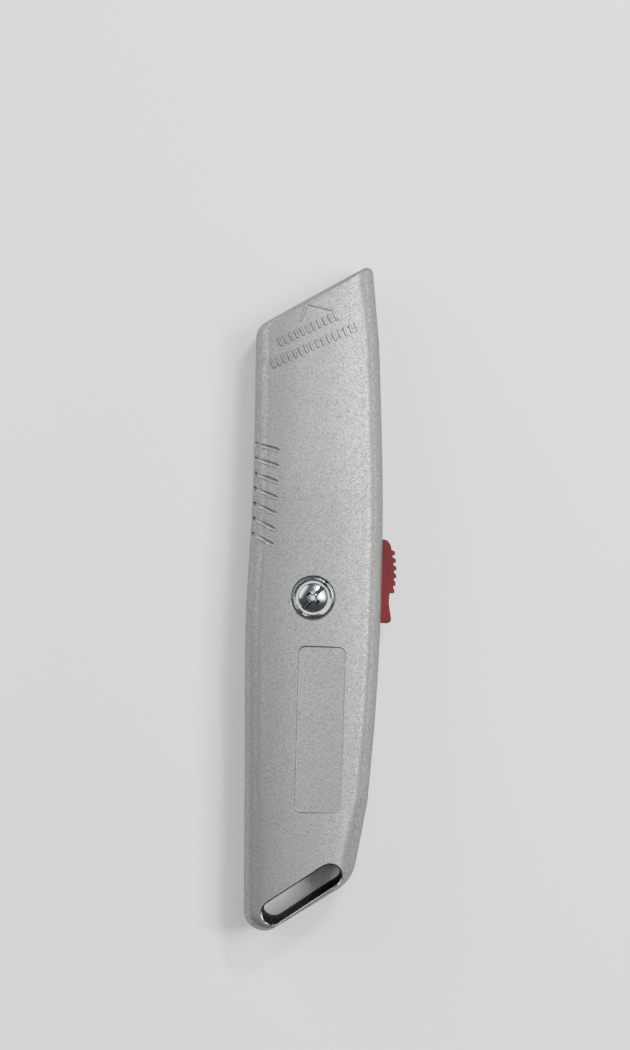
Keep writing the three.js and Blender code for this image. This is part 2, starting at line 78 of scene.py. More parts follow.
STRAIGHT_STEPS = (36, 7, 24, 15, 15, 15)  # points put into the straight runs between the curves
SLOT = {"centre": (-0.7, -67.4), "length": 20.7, "half_width": 2.65, "angle": 34.9, "draft": 0.4}
PANEL = {"centre": (2.5, -29.9), "half": (5.25, 18.8), "corner": 1.3, "floor": 9.55}
GRIP = {
    "count": 7,
    "first_y": 14.3,
    "pitch": 3.4,
    "first_angle": -28.0,
    "angle_step": 2.2,
    "length": 6.0,
    "half_width": 0.62,
    "depth": 0.42,
}
MARKS = {
    "angle": 26.0,
    "length": 1.35,
    "half_width": 0.24,
    "pitch": 1.4,
    "rise": 0.5,
    "rows": (((-8.9, 57.6), 11), ((-10.4, 52.4), 16)),  # the first bar's foot, and how many bars
    "chevron": ((-4.5, 63.2), (-3.2, 67.0), (2.4, 65.7)),
    "chevron_half_width": 0.15,
}
CHANNEL = {"x": 12.62, "y": (-7.02, 43.02), "half_width": 4.22}
BLADE_SLIT = {"half_width": 9.92, "half_height": 0.56, "y": (58, 90)}
SKIN_THICKNESS = 1.1
KEPT_DEPTH = 0.9  # the CAD's inside is kept from this depth on, so it overlaps the skin
CORE_BOTTOM = -6.0  # the cores begin under the parting plane, so they cut through it
SCREW_HEAD = 3.45  # radius
SCREW_ANGLE = 49.0


# ---- camera -----------------------------------------------------------------------------------
def add_camera():
    """Straight down on the front face, rolled so that the knife leans a little to the right."""
    distance = 0.8
    frame_height = 0.2386
    front_face = 2 * PARTING_Z / 1000
    middle_y = 0.0166
    lean = 1.6
    data = bpy.data.cameras.new("camera")
    data.sensor_width = 36.0
    data.lens = data.sensor_width * distance / frame_height
    data.clip_start, data.clip_end = 0.01, 10.0
    camera = bpy.data.objects.new("camera", data)
    camera.location = (0.0, middle_y, front_face + distance)
    camera.rotation_euler = (0.0, 0.0, math.radians(lean))
    bpy.context.scene.collection.objects.link(camera)
    bpy.context.scene.camera = camera


# ---- meshes -----------------------------------------------------------------------------------
def new_object(name, verts, faces):
    """A mesh object in the scene, from the points and faces of a closed body."""
    mesh = bpy.data.meshes.new(name)
    mesh.from_pydata([tuple(v) for v in verts], [], faces)
    mesh.validate()
    obj = bpy.data.objects.new(name, mesh)
    bpy.context.scene.collection.objects.link(obj)
    outward(mesh)
    return obj


def outward(mesh):
    """Turns a closed mesh's faces outward."""
    bm = bmesh.new()
    bm.from_mesh(mesh)
    bmesh.ops.recalc_face_normals(bm, faces=bm.faces)
    bm.to_mesh(mesh)
    bm.free()


def drop(obj):
    """Removes the object and its mesh."""
    mesh = obj.data
    bpy.data.objects.remove(obj)
    bpy.data.meshes.remove(mesh)


def applied(obj):
    """Turns the object's modifiers into its mesh."""
    graph = bpy.context.evaluated_depsgraph_get()
    made = bpy.data.meshes.new_from_object(obj.evaluated_get(graph))
    obj.modifiers.clear()
    old = obj.data
    obj.data = made
    bpy.data.meshes.remove(old)


def combine(obj, other, operation):
    """Cuts other from obj, joins it or keeps what both hold, and removes other."""
    modifier = obj.modifiers.new("combine", "BOOLEAN")
    modifier.operation = operation
    modifier.object = other
    modifier.solver = "MANIFOLD"
    applied(obj)
    drop(other)
    return obj


def stacked(name, rings):
    """A closed body through rings of as many points each, from the lowest up."""
    count = len(rings[0])
    verts = [v for ring_points in rings for v in ring_points]
    faces = []
    for level in range(len(rings) - 1):
        for i in range(count):
            a, b = level * count + i, level * count + (i + 1) % count
            faces.append((a, b, b + count, a + count))
    faces.append(tuple(range(count))[::-1])
    faces.append(tuple(range((len(rings) - 1) * count, len(rings) * count)))
    return new_object(name, verts, faces)


def turned(name, profile):
    """A turned body about the Z axis, from (radius, z) points off the axis."""
    segments = 96
    turns = [2 * math.pi * i / segments for i in range(segments)]
    rings = [[(radius * math.cos(a), radius * math.sin(a), z) for a in turns] for radius, z in profile]
    return stacked(name, rings)


def block(name, low, high):
    """A box from its low corner to its high one."""
    (x0, y0, z0), (x1, y1, z1) = low, high
    outline = [(x0, y0), (x1, y0), (x1, y1), (x0, y1)]
    return stacked(name, [[(x, y, z) for x, y in outline] for z in (z0, z1)])


def tubes(name, paths):
    """Closed round bars in one object, each along a path of (point, half width, half height)."""
    sides = 16
    verts, faces = [], []
    for path in paths:
        first = len(verts)
        for i, (point, half_width, half_height) in enumerate(path):
            before, after = path[max(i - 1, 0)][0], path[min(i + 1, len(path) - 1)][0]
            along = (after - before).normalized()
            across = Vector((along.y, -along.x, 0)).normalized()
            up = across.cross(along)
            for k in range(sides):
                turn = 2 * math.pi * k / sides
                offset = across * (half_width * math.cos(turn)) + up * (half_height * math.sin(turn))
                verts.append(point + offset)
        for i in range(len(path) - 1):
            for k in range(sides):
                a, b = first + i * sides + k, first + i * sides + (k + 1) % sides
                faces.append((a, b, b + sides, a + sides))
        faces.append(tuple(first + k for k in range(sides)))
        faces.append(tuple(first + (len(path) - 1) * sides + k for k in range(sides)))
    return new_object(name, verts, faces)


def smoothed(obj, angle):
    """Even shading with sharp edges kept, in which the larger faces stay flat."""
    obj.data.polygons.foreach_set("use_smooth", [True] * len(obj.data.polygons))
    obj.data.set_sharp_from_angle(angle=math.radians(angle))
    weighting = obj.modifiers.new("normals", "WEIGHTED_NORMAL")
    weighting.keep_sharp = True
    applied(obj)


def skin_tree(skin):
    """A mesh's faces, ready for finding the nearest one or casting rays."""
    return BVHTree.FromPolygons([v.co for v in skin.vertices], [p.vertices for p in skin.polygons])


def take_normals(mesh, skin):
    """Gives the faces that lie on the skin's surface the skin's own even shading."""
    near, parallel = 0.03, 0.94
    tree = skin_tree(skin)
    skin_normals = [v.normal.copy() for v in skin.vertices]
    skin_faces = [list(p.vertices) for p in skin.polygons]
    normals = [Vector(corner.vector) for corner in mesh.corner_normals]
    for face in mesh.polygons:
        _, direction, _, distance = tree.find_nearest(face.center)
        if distance > near or face.normal.dot(direction) < parallel:
            continue
        for loop_index in face.loop_indices:
            place = mesh.vertices[mesh.loops[loop_index].vertex_index].co
            found, _, index, _ = tree.find_nearest(place)
            corners = skin_faces[index]
            weights = poly_3d_calc([skin.vertices[i].co for i in corners], found)
            normals[loop_index] = sum(
                (skin_normals[i] * w for i, w in zip(corners, weights)), Vector()
            ).normalized()
    mesh.normals_split_custom_set(normals)


def placed(obj, smooth_angle, skin=None):
    """Smooths the finished mesh, lifts it to the model's origin and scales it to metres."""
    smoothed(obj, smooth_angle)
    if skin:
        take_normals(obj.data, skin)
    obj.data.transform(Matrix.Scale(0.001, 4) @ Matrix.Translation((0, 0, PARTING_Z)))
    obj.data.materials.clear()


# ---- the handle's outline ---------------------------------------------------------------------
def end_point(end, x):
    """The point at x on the straight line of the nose or the tail."""
    return Vector((x, end[0] + end[1] * x))


def spline(points, t):
    """Point and direction at t (0 to 1) of a Catmull-Rom curve."""
    last = len(points) - 1
    place = t * last
    i = min(int(place), last - 1)
    w = place - i
    p0, p1 = Vector(points[max(i - 1, 0)]), Vector(points[i])
    p2, p3 = Vector(points[i + 1]), Vector(points[min(i + 2, last)])
    v0, v1 = (p2 - p0) / 2, (p3 - p1) / 2
    a, b = 2 * p1 - 2 * p2 + v0 + v1, -3 * p1 + 3 * p2 - 2 * v0 - v1
    return a * w**3 + b * w**2 + v0 * w + p1, (3 * a * w**2 + 2 * b * w + v0).normalized()


def corner(before, at, after, radius, insets):
    """A rounded corner with the runs before and after it pulled in by their insets."""
    segments, smallest = 12, 0.3
    back, on = (before - at).normalized(), (after - at).normalized()
    half = back.angle(on) / 2
    spread = math.sin(2 * half)
    kept = max(radius - sum(insets) / 2, smallest)
    centre = at + (back + on).normalized() * (kept / math.sin(half))
    centre += on * (insets[0] / spread) + back * (insets[1] / spread)
    start = math.atan2(-back.x, back.y)
    sweep = 2 * half - math.pi
    angles = [start + sweep * i / segments for i in range(segments + 1)]
    return [centre + Vector((math.cos(a), math.sin(a))) * kept for a in angles]


def long_side(points, inset):
    """The belly or the spine, pulled in by its inset."""
    segments = 80
    made = []
    for i in range(segments + 1):
        point, along = spline(points, i / segments)
        made.append(point + Vector((along.y, -along.x)) * inset)
    return made


def ring(sides, ends):
    """The outline, clockwise from the tail, its long sides and its ends pulled in."""
    belly, spine = [Vector(p) for p in BELLY], [Vector(p) for p in SPINE]
    nose, tail = end_point(NOSE, 0), end_point(TAIL, 0)
    runs = [
        corner(tail, end_point(TAIL, TAIL_BELLY[0]), belly[0], TAIL_BELLY[1], (ends, sides)),
        long_side(belly, sides),
        corner(belly[-1], end_point(NOSE, NOSE_BELLY[0]), nose, NOSE_BELLY[1], (sides, ends)),
        corner(nose, end_point(NOSE, NOSE_SPINE[0]), spine[0], NOSE_SPINE[1], (ends, sides)),
        long_side(spine, sides),
        corner(spine[-1], end_point(TAIL, TAIL_SPINE[0]), tail, TAIL_SPINE[1], (sides, ends)),
    ]
    points = []
    for run, following, steps in zip(runs, runs[1:] + runs[:1], STRAIGHT_STEPS):
        points += run
        points += [run[-1].lerp(following[0], i / (steps + 1)) for i in range(1, steps + 1)]
    return points


def side_x(points, y):
    """X of a long side at y, found by halving."""
    halvings = 24
    ends = sorted((points[0], points[-1]), key=lambda p: p[1])
    y = min(max(y, ends[0][1]), ends[1][1])
    low, high = 0.0, 1.0
    rising = points[-1][1] > points[0][1]
    for _ in range(halvings):
        middle = (low + high) / 2
        if (spline(points, middle)[0].y < y) == rising:
            low = middle
        else:
            high = middle
    return spline(points, low)[0].x


SIDE_REACH = 80
SIDE_STEP = 2
SIDE_TABLE = {
    y: (side_x(BELLY, y), side_x(SPINE, y)) for y in range(-SIDE_REACH, SIDE_REACH + 1, SIDE_STEP)
}


def sides_at(y):
    """X of the belly and of the spine at y."""
    y0 = SIDE_STEP * math.floor(y / SIDE_STEP)
    w = (y - y0) / SIDE_STEP
    a, b = (SIDE_TABLE[max(min(row, SIDE_REACH), -SIDE_REACH)] for row in (y0, y0 + SIDE_STEP))
    return a[0] + (b[0] - a[0]) * w, a[1] + (b[1] - a[1]) * w


def lowering(x, y, crown):
    """How far the face lies under its level: the taper to the nose, and the crown across."""
    past = y - TAPER_START
    taper = max(past, 0.0)
    if abs(past) <= TAPER_BLEND:
        taper = (past + TAPER_BLEND) ** 2 / (4 * TAPER_BLEND)
    belly_x, spine_x = sides_at(y)
    middle, reach = (belly_x + spine_x) / 2, (spine_x - belly_x) / 2 - RIM_WIDTH
    return TAPER_SLOPE * taper + crown * min(abs(x - middle) / reach, 1.0) ** CROWN_POWER


def face_height(tree, x, y):
    """Height of the uncut front face over the parting plane."""
    return tree.ray_cast(Vector((x, y, 2 * FACE)), Vector((0, 0, -1)))[0].z


# ---- the handle halves ------------------------------------------------------------------------
def half_body(name, crown, inset=0.0, bottom=None):
    """The outside of one handle half, facing up, or a core of it that is inset all over.

    Each level is the inset of the long sides, the inset of the ends, and the height.
    """
    wall_top = FACE - RIM_DEPTH
    seam_round = [(0.22, 0.0), (0.07, 0.07), (0.0, 0.24)]
    levels = [(pulled, pulled, SEAM + up) for pulled, up in seam_round]
    if bottom is not None:
        levels[:2] = [(0.0, 0.0, bottom)]
    levels += [(0.0, 0.0, wall_top * k / 3) for k in (1, 2, 3)]
    for i in range(1, RIM_STEPS + 1):
        angle = math.pi / 2 * i / RIM_STEPS
        width = 1 - math.cos(angle)
        levels.append((RIM_WIDTH * width, END_RIM * width, wall_top + RIM_DEPTH * math.sin(angle)))
    rings = []
    for sides, ends, z in levels:
        outline = ring(sides + (inset + INSIDE), ends + (inset + INSIDE))
        rings.append([(p.x, p.y, z) for p in outline])
    count = len(rings[0])
    verts = [v for points in rings for v in points]
    faces = [tuple(range(count))[::-1]]
    for first in range(0, len(verts) - count, count):
        for i in range(count):
            a, b = first + i, first + (i + 1) % count
            faces.append((a, b, b + count, a + count))
    cap_verts, cap_faces = filled(rings[-1], CAP_SPACING)
    first = len(verts) - count
    verts += cap_verts
    faces += [tuple(first + i for i in face) for face in cap_faces]
    shaped = []
    for x, y, z in verts:
        # the face's fall fades out down the wall, and a core's face lies lower by its inset
        share = min(max((z - SEAM) / (wall_top - SEAM), 0.0), 1.0)
        sunk = inset if z > wall_top else 0.0
        shaped.append((x, y, z - lowering(x, y, crown) * share - sunk))
    return new_object(name, shaped, faces)


def filled(outline, spacing):
    """Points inside a level outline, and triangles over the outline's own points and these."""
    height = outline[0][2]
    margin = 0.6 * spacing
    edge = [Vector(p[:2]) for p in outline]
    low = [min(p[i] for p in edge) for i in (0, 1)]
    high = [max(p[i] for p in edge) for i in (0, 1)]
    inner = []
    y = low[1] + spacing / 2
    while y < high[1]:
        crossings = []
        for a, b in zip(edge, edge[1:] + edge[:1]):
            if (a.y < y) != (b.y < y):
                crossings.append(a.x + (b.x - a.x) * (y - a.y) / (b.y - a.y))
        x0, x1 = min(crossings) + margin, max(crossings) - margin
        steps = max(round((x1 - x0) / spacing), 1)
        if x1 > x0:
            inner += [Vector((x0 + (x1 - x0) * i / steps, y)) for i in range(steps + 1)]
        y += spacing
    loop = [(i, (i + 1) % len(edge)) for i in range(len(edge))]
    made = delaunay_2d_cdt(edge + inner, loop, [], 1, 1e-6)
    triangles, sources = made[2], made[3]
    order = [source[0] for source in sources]
    extra = [(p.x, p.y, height) for p in inner]
    return extra, [tuple(order[i] for i in triangle) for triangle in triangles]


def capsule(half_width):
    """The hang slot's outline, from its half width."""
    steps = 16
    reach = SLOT["length"] / 2 - SLOT["half_width"]
    turn = math.radians(SLOT["angle"])
    points = []
    for end in (0, 1):
        x = SLOT["centre"][0] + reach * math.cos(turn + math.pi * end)
        y = SLOT["centre"][1] + reach * math.sin(turn + math.pi * end)
        for i in range(steps + 1):
            angle = turn + math.pi * (end + i / steps - 0.5)
            points.append((x + half_width * math.cos(angle), y + half_width * math.sin(angle)))
    return points


def slot_cutter(tree):
    """The drafted hang slot, with a rounded lip that follows the face."""
    lip, tuck, hair = 0.45, 0.06, 0.01
    lean, steps = math.radians(78), 6
    waist = SLOT["half_width"] - SLOT["draft"] - hair
    edge = SLOT["half_width"] - tuck
    rings = [[(x, y, z) for x, y in capsule(waist)] for z in (-3.0, 0.4)]
    for i in range(steps + 1):
        angle = lean * i / steps
        outline = capsule(edge + lip * (1 - math.cos(angle)))
        sunk = lip * (math.sin(lean) - math.sin(angle)) - hair
        rings.append([(x, y, face_height(tree, x, y) - sunk) for x, y in outline])
    rings.append([(x, y, FACE + 1) for x, y in capsule(edge + lip * 0.85)])
    return stacked("slot_cutter", rings)


def rounded_rectangle(centre, half, radius, steps=8):
    """A rectangle's outline with round corners, from its centre and its half sizes."""
    points = []
    for quadrant, (sx, sy) in enumerate([(1, -1), (1, 1), (-1, 1), (-1, -1)]):
        for i in range(steps + 1):
            angle = math.pi / 2 * (quadrant - 1 + i / steps)
            x = centre[0] + sx * (half[0] - radius) + radius * math.cos(angle)
            points.append((x, centre[1] + sy * (half[1] - radius) + radius * math.sin(angle)))
    return points


def panel_cutter():
    """The shallow label panel, with a soft foot and a chamfered edge."""
    wall = [(-0.16, 0.0), (-0.06, 0.03), (0.04, 0.12), (0.16, 0.27), (0.26, 0.42), (0.5, 1.2)]
    rings = []
    for grow, up in wall:
        half = (PANEL["half"][0] + grow, PANEL["half"][1] + grow)
        outline = rounded_rectangle(PANEL["centre"], half, PANEL["corner"] + grow)
        rings.append([(x, y, PANEL["floor"] + up) for x, y in outline])
    return stacked("panel_cutter", rings)


def groove_cutter(tree):
    """Grip grooves with round floors, which run over the belly rim and end on the face."""
    steps, from_edge, thinnest = 24, 0.35, 0.02
    paths = []
    for i in range(GRIP["count"]):
        y = GRIP["first_y"] + GRIP["pitch"] * i
        angle = math.radians(GRIP["first_angle"] + GRIP["angle_step"] * i)
        start_x = sides_at(y)[0] + from_edge
        path = []
        for k in range(steps + 1):
            along = GRIP["length"] * k / steps
            x = start_x + along * math.cos(angle)
            point = Vector((x, y + along * math.sin(angle), face_height(tree, x, y)))
            last_sixth = max(k / steps * 6 - 5, 0.0)
            end_round = math.sqrt(max(1 - last_sixth**2, thinnest))
            path.append((point, GRIP["half_width"] * end_round, GRIP["depth"] * end_round))
        paths.append(path)
    return tubes("groove_cutter", paths)


def stroke(points, half_width):
    """The outline of a line of even width through points, with square ends and a mitred bend."""
    sharpest = 0.3
    left, right = [], []
    for i, point in enumerate(points):
        before = (point - points[max(i - 1, 0)]).normalized()
        after = (points[min(i + 1, len(points) - 1)] - point).normalized()
        along = (before + after).normalized()
        across = Vector((-along.y, along.x))
        reach = half_width / max(along.dot(before), along.dot(after), sharpest)
        end_shift = along * (half_width * ((i == len(points) - 1) - (i == 0)))
        left.append(point + across * reach + end_shift)
        right.append(point - across * reach + end_shift)
    return right + left[::-1]


def raised_marks(tree):
    """A chevron and two rows of plain bars on the nose, with drafted sides."""
    rise = MARKS["rise"]
    levels = ((0.11, -0.35), (0.05, rise * 0.8), (-0.03, rise))
    turn = math.radians(MARKS["angle"])
    along = Vector((math.cos(turn), math.sin(turn)))
    up = Vector((-along.y, along.x))
    lines = [([Vector(p) for p in MARKS["chevron"]], MARKS["chevron_half_width"])]
    for start, count in MARKS["rows"]:
        for i in range(count):
            foot = Vector(start) + along * (MARKS["pitch"] * i)
            lines.append(([foot, foot + up * MARKS["length"]], MARKS["half_width"]))
    marks = None
    for points, half_width in lines:
        rings = []
        for grow, lift in levels:
            outline = stroke(points, half_width + grow)
            rings.append([(p.x, p.y, face_height(tree, p.x, p.y) + lift) for p in outline])
        mark = stacked("mark", rings)
        marks = combine(marks, mark, "UNION") if marks else mark
    return marks


def dish_cutter():
    """The bowl that the screw head sits in, which steepens outwards, with a rounded lip."""
    radius, height = 3.8, 8.3
    bowl = [(3.76, 7.2), (3.76, 8.2)]
    steps, stride = 14, 0.112
    first_tilt, more_tilt = 22, 44
    for i in range(steps + 1):
        bowl.append((radius, height))
        tilt = math.radians(first_tilt + more_tilt * i / steps)
        radius += stride * math.cos(tilt)
        height += stride * math.sin(tilt)
    lip, lip_steps, lip_turn = 0.25, 4, 80
    for i in range(lip_steps + 1):
        tilt = math.radians(lip_turn * i / lip_steps)
        bowl.append((radius + lip * (1 - math.cos(tilt)), height + lip * math.sin(tilt)))
    bowl.append((radius + lip, FACE + 1))
    return turned("dish_cutter", bowl)


def channel_cutter():
    """The thumb button's channel, which flares a little at its mouth."""
    (y0, y1), w = CHANNEL["y"], CHANNEL["half_width"]
    flare = ((CHANNEL["x"], 0.0), (15.0, 0.0), (15.5, 0.12), (16.2, 0.6), (18.0, 1.4))
    rings = []
    for x, grow in flare:
        corners = [(y0 - grow, -w - grow), (y1 + grow, -w - grow)]
        corners += [(y1 + grow, w + grow), (y0 - grow, w + grow)]
        rings.append([(x, y, z) for y, z in corners])
    return stacked("channel_cutter", rings)


def blade_slit_cutter():
    """The slit that the blade leaves by."""
    w, h, (y0, y1) = BLADE_SLIT["half_width"], BLADE_SLIT["half_height"], BLADE_SLIT["y"]
    return block("blade_slit", (-w, y0, -h), (w, y1, h))


def cad_copy(node, facing):
    """The CAD node's solid in mm about the parting plane, mirrored so that its face is up."""
    weld = 0.002
    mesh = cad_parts[node].data.copy()
    mesh.transform(Matrix.Translation((0, 0, -PARTING_Z)) @ Matrix.Scale(1000, 4))
    if facing < 0:
        mesh.transform(Matrix.Scale(-1, 4, (0, 0, 1)))
    bm = bmesh.new()
    bm.from_mesh(mesh)
    bmesh.ops.remove_doubles(bm, verts=bm.verts, dist=weld)
    bmesh.ops.recalc_face_normals(bm, faces=bm.faces)
    bm.to_mesh(mesh)
    bm.free()
    obj = bpy.data.objects.new(node + "_inside", mesh)
    obj.data.materials.clear()
    bpy.context.scene.collection.objects.link(obj)
    return obj


def handle_half(name, node, facing):
    """A handle half: a finely curved skin over the CAD node's inside, with its cuts and marks."""
    crown = FRONT_CROWN if facing > 0 else REAR_CROWN
    core = half_body("core", crown, KEPT_DEPTH, CORE_BOTTOM)
    inside = combine(cad_copy(node, facing), core, "INTERSECT")
    half = half_body(name, crown)
    skin = half.data.copy()
    tree = skin_tree(skin)
    combine(half, half_body("core", crown, SKIN_THICKNESS, CORE_BOTTOM), "DIFFERENCE")
    combine(half, inside, "UNION")
    combine(half, slot_cutter(tree), "DIFFERENCE")
    combine(half, channel_cutter(), "DIFFERENCE")
    combine(half, blade_slit_cutter(), "DIFFERENCE")
    combine(half, groove_cutter(tree), "DIFFERENCE")
    combine(half, panel_cutter(), "DIFFERENCE")
    if facing > 0:
        combine(half, dish_cutter(), "DIFFERENCE")
        combine(half, raised_marks(tree), "UNION")
    else:
        for mesh in (half.data, skin):
            mesh.transform(Matrix.Scale(-1, 4, (0, 0, 1)))
            mesh.flip_normals()
    return half, skin


# ---- materials --------------------------------------------------------------------------------
def material(name, color, roughness, metallic, **sockets):
    """A material with these values on its shader, and any others by the names of their sockets."""
    made = bpy.data.materials.new(name)
    made.use_nodes = True
    shader = made.node_tree.nodes["Principled BSDF"]
    shader.inputs["Base Color"].default_value = (*color, 1)
    shader.inputs["Roughness"].default_value = roughness
    shader.inputs["Metallic"].default_value = metallic
    for key, value in sockets.items():
        shader.inputs[key.replace("_", " ")].default_value = value
    return made


def add_node(made, kind, **values):
    """A shader node, with values for its sockets or, where it has no such socket, its settings."""
    node = made.node_tree.nodes.new(kind)
    for key, value in values.items():
        if key in node.inputs:
            node.inputs[key].default_value = value
        else:
            setattr(node, key, value)
    return node


def parts_of(made):
    """A material's links, its shader, and where each point is on its object."""
    place = add_node(made, "ShaderNodeTexCoord").outputs["Object"]
    return made.node_tree.links, made.node_tree.nodes["Principled BSDF"], place


def add_noise(made, place, scale, detail, roughness=0.5):
    """A noise texture over place, as how strong it is at each point."""
    noise = add_node(made, "ShaderNodeTexNoise", Scale=scale, Detail=detail, Roughness=roughness)
    made.node_tree.links.new(place, noise.inputs["Vector"])
    return noise.outputs["Fac"]


def add_bump(made, height, strength, distance, under=None):
    """Relief of this height over the relief under it, if any, as the normal that it gives."""
    bump = add_node(made, "ShaderNodeBump", Strength=strength, Distance=distance)
    made.node_tree.links.new(height, bump.inputs["Height"])
    if under:
        made.node_tree.links.new(under, bump.inputs["Normal"])
    return bump.outputs["Normal"]


def add_range(made, factor, low, high):
    """A value that goes from low to high as factor goes from 0 to 1."""
    spread = add_node(made, "ShaderNodeMapRange")
    spread.inputs["To Min"].default_value = low
    spread.inputs["To Max"].default_value = high
    made.node_tree.links.new(factor, spread.inputs["Value"])
    return spread.outputs["Result"]


def add_tone(made, factor, dark, light):
    """A colour between dark and light, by factor."""
    tone = add_node(made, "ShaderNodeMix", data_type="RGBA")
    tone.inputs["A"].default_value = (*dark, 1)
    tone.inputs["B"].default_value = (*light, 1)
    made.node_tree.links.new(factor, tone.inputs["Factor"])
    return tone.outputs["Result"]


def textured_paint():
    """Silver-grey paint with a fine metallic grain and a pebbled skin."""
    made = material("cast_paint", (0.21, 0.21, 0.205), 0.5, 0.75, Specular_Tint=(0.4, 0.4, 0.4, 1))
    links, shader, place = parts_of(made)

    flakes = add_node(made, "ShaderNodeTexVoronoi", feature="SMOOTH_F1", Scale=4300.0)
    links.new(place, flakes.inputs["Vector"])
    flake_tones = add_node(made, "ShaderNodeSeparateColor")
    links.new(flakes.outputs["Color"], flake_tones.inputs["Color"])
    one_flake = flake_tones.outputs["Red"]

    mixed = add_node(made, "ShaderNodeMix", data_type="FLOAT")
    mixed.inputs["Factor"].default_value = 0.5
    links.new(one_flake, mixed.inputs["A"])
    links.new(add_noise(made, place, 2400.0, 3.0, 0.6), mixed.inputs["B"])
    tone = add_node(made, "ShaderNodeValToRGB")
    dark, light = tone.color_ramp.elements
    dark.position, dark.color = 0.22, (0.139, 0.139, 0.136, 1)
    light.position, light.color = 0.78, (0.285, 0.285, 0.278, 1)
    links.new(mixed.outputs["Result"], tone.inputs["Fac"])
    links.new(tone.outputs["Color"], shader.inputs["Base Color"])
    links.new(add_range(made, one_flake, 0.58, 0.27), shader.inputs["Roughness"])

    pebbles = add_bump(made, add_noise(made, place, 1900.0, 2.0), 0.5, 0.00006)
    sparkle = add_bump(made, flakes.outputs["Distance"], 0.3, 0.00003, pebbles)
    links.new(sparkle, shader.inputs["Normal"])
    return made


def bright_metal(name, color, roughness, **sockets):
    """Polished or plated metal with a trace of wear in its gloss."""
    made = material(name, color, roughness, 1.0, **sockets)
    links, shader, place = parts_of(made)
    wear = add_noise(made, place, 900.0, 4.0, 0.6)
    links.new(add_range(made, wear, roughness * 0.7, roughness * 1.5), shader.inputs["Roughness"])
    return made


def brushed_steel(name, color, roughness, across):
    """Steel with fine lines that run along X where across is true, and along Y otherwise."""
    stretched = 0.03
    made = material(name, color, roughness, 1.0)
    links, shader, place = parts_of(made)
    stretch = add_node(made, "ShaderNodeMapping")
    stretch.inputs["Scale"].default_value = (stretched, 1.0, 1.0) if across else (1.0, stretched, 1.0)
    links.new(place, stretch.inputs["Vector"])
    lines = add_noise(made, stretch.outputs["Vector"], 2500.0, 4.0, 0.65)
    stains = add_noise(made, place, 120.0, 3.0)
    tone = add_tone(made, stains, [c * 0.82 for c in color], [c * 1.1 for c in color])
    links.new(tone, shader.inputs["Base Color"])
    links.new(add_bump(made, lines, 0.25, 0.00002), shader.inputs["Normal"])
    return made


def moulded_red():
    """Red plastic with the faint orange peel and mottling of a moulding."""
    made = material("red_plastic", (0.1, 0.002, 0.006), 0.42, 0.0, Specular_IOR_Level=0.2)
    links, shader, place = parts_of(made)
    mottle = add_noise(made, place, 260.0, 3.0)
    tone = add_tone(made, mottle, (0.042, 0.0006, 0.002), (0.15, 0.0027, 0.0085))
    links.new(tone, shader.inputs["Base Color"])
    peel = add_noise(made, place, 1400.0, 2.0)
    links.new(add_bump(made, peel, 0.2, 0.00005), shader.inputs["Normal"])
    return made


def floor_paint():
    """A plain pale studio floor with a very faint tooth."""
    made = material("floor", (0.86, 0.86, 0.865), 0.7, 0.0)
    links, shader, place = parts_of(made)
    grain = add_noise(made, place, 900.0, 3.0)
    links.new(add_bump(made, grain, 0.05, 0.0001), shader.inputs["Normal"])
    return made


# ---- the pieces -------------------------------------------------------------------------------
def add_handle(paint, bowl_metal, slot_shade_metal):
    """Both handle halves, painted, with bare metal in the screw's bowl and on the hang slot's lip, and
    glossy metal darkened as painted shade on the hang slot's walls.
    """
    for name, node, facing in (("front_half", "front_shell", 1), ("rear_half", "rear_shell", -1)):
        half, skin = handle_half(name, node, facing)
        bare_and_shade_marks = bare_metal_and_shade_walls(half.data, skin, facing)
        placed(half, 27.0, skin)
        for made in (paint, bowl_metal, slot_shade_metal):
            half.data.materials.append(made)
        half.data.polygons.foreach_set("material_index", bare_and_shade_marks)
        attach(half, "handle")
        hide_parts(node)


def in_slot(place):
    """Whether a point is inside the hang slot or on its lip, seen from above."""
    lip_reach = 0.5
    turn = math.radians(SLOT["angle"])
    along = Vector((math.cos(turn), math.sin(turn)))
    reach = SLOT["length"] / 2 - SLOT["half_width"]
    offset = place.xy - Vector(SLOT["centre"])
    nearest = along * min(max(offset.dot(along), -reach), reach)
    return (offset - nearest).length < SLOT["half_width"] + lip_reach


def bare_metal_and_shade_walls(mesh, skin, facing):
    """Each face's material: 1 in the screw's bowl and on the slot's lip, 2 in the slot (glossy metal
    darkened as painted shade), else 0.
    """
    bowl_radius, bowl_bottom, lip_height, on_skin = 4.9, 6.9, 8.9, 0.002
    tree = skin_tree(skin)
    marks = []
    for face in mesh.polygons:
        place = face.center
        mark = 0
        if facing > 0 and place.xy.length < bowl_radius and place.z > bowl_bottom:
            mark = 1
        elif in_slot(place):
            # the slot's deeper walls get near-black metal, a painted shade of the deep slot
            mark = 1 if abs(place.z) > lip_height else 2
        if mark and tree.find_nearest(place)[3] < on_skin:
            mark = 0
        marks.append(mark)
    return marks


def screw_blank():
    """The screw before its recesses are cut, and its head's dome: rim radius, rim and top height."""
    underside, edge_start, top = 7.4, 8.5, 9.66
    head, shank, chamfer = SCREW_HEAD, 1.85, 0.1
    edge, edge_steps, edge_turn = 0.55, 8, math.radians(68)
    dome_steps, to_axis = 10, 10.3
    profile = [(1.4, -6.2), (shank, -5.8), (shank, underside), (head - chamfer, underside)]
    profile += [(head, underside + chamfer), (head, edge_start)]
    for i in range(1, edge_steps + 1):
        angle = edge_turn * i / edge_steps
        profile.append((head - edge * (1 - math.cos(angle)), edge_start + edge * math.sin(angle)))
    rim, rise = profile[-1]
    for i in range(1, dome_steps + 1):
        radius = rim * (1 - i / to_axis)
        profile.append((radius, dome_height(radius, rim, rise, top)))
    return turned("screw", profile), (rim, rise, top)


def dome_height(radius, rim, rise, top):
    """Height of the screw's head at a radius, from the dome's rim to its top."""
    return rise + (top - rise) * (1 - (radius / rim) ** 2)


